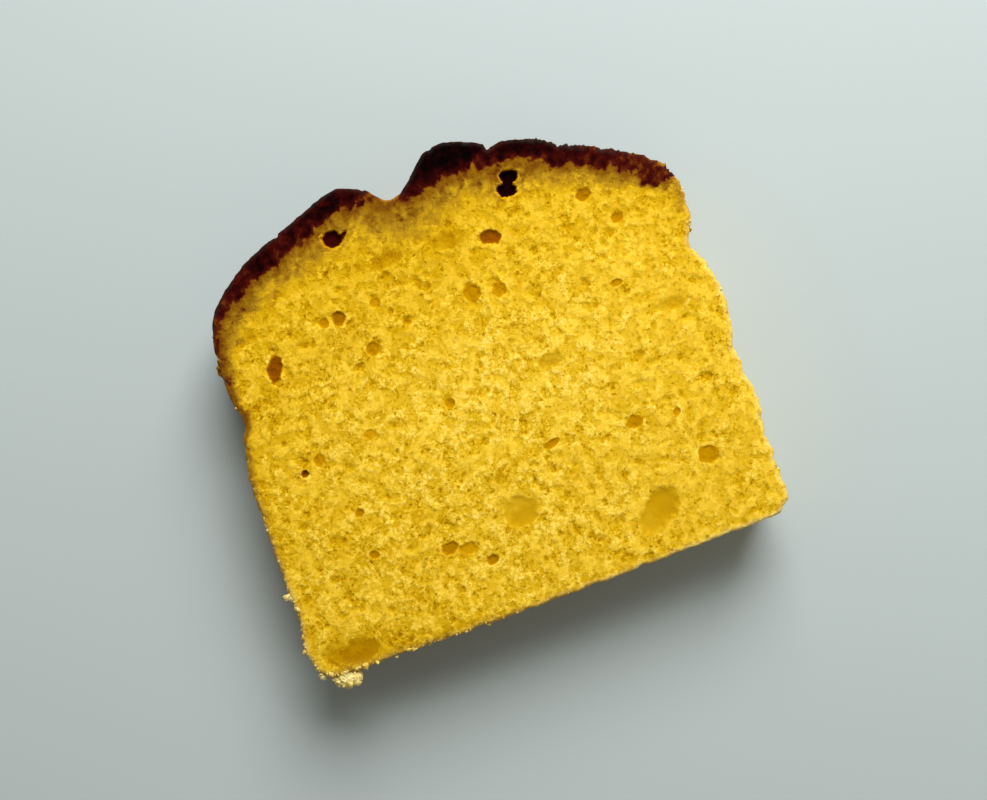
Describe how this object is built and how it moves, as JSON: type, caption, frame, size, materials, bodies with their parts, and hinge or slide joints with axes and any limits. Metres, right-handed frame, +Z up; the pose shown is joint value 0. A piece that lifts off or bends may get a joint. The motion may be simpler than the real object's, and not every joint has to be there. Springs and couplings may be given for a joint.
{
  "type": "lemon pound cake",
  "caption": "Slice of lemon pound cake lying on its cut face: yellow porous crumb, flat base, straight sides and a browned crown split along its top.",
  "frame": {"origin": "under the middle of the slice's bounding box, on the surface that its lower cut face lies on", "axes": "+X across the loaf, towards the slice's right side with the crown pointing away from the viewer; +Y from the loaf's flat base to its crown; +Z up, along the loaf's length, through the slice's thickness"},
  "size_m": [0.1046, 0.0966, 0.0202],
  "materials": {
    "cake_crumb": "moist open crumb, deep yellow with paler flecks and ochre pores, matt; dark red-brown baked crust round the crown"
  },
  "bodies": {
    "root": {"cake_slice": "cake_crumb"}
  },
  "joints": []
}
